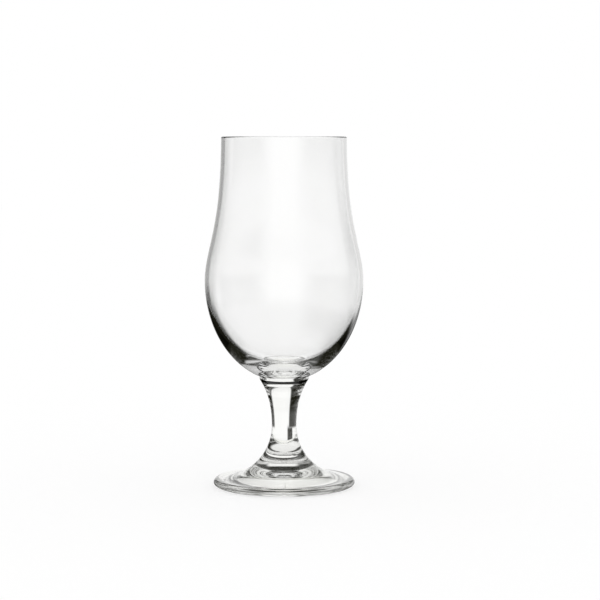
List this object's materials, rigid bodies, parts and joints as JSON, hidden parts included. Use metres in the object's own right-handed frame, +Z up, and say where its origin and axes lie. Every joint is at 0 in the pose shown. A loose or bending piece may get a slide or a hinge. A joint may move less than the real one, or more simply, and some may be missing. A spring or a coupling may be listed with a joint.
{
  "type": "footed beer glass",
  "caption": "Clear footed beer glass: a tulip bowl with a heavy bottom, on a short waisted stem and a round disc foot.",
  "frame": {"origin": "middle of the foot's standing ring, on the table", "axes": "+Z up along the glass's axis, -Y towards the pictured front, +X to its right"},
  "size_m": [0.0796, 0.0796, 0.1758],
  "materials": {
    "bowl_glass": "clear blown glass, fire-polished at the rim",
    "stem_glass": "clear pressed glass, fire-polished",
    "foot_glass": "clear pressed glass, finely scuffed on the standing ring"
  },
  "bodies": {
    "root": {"bowl": "bowl_glass", "stem": "stem_glass", "foot": "foot_glass"}
  },
  "joints": []
}
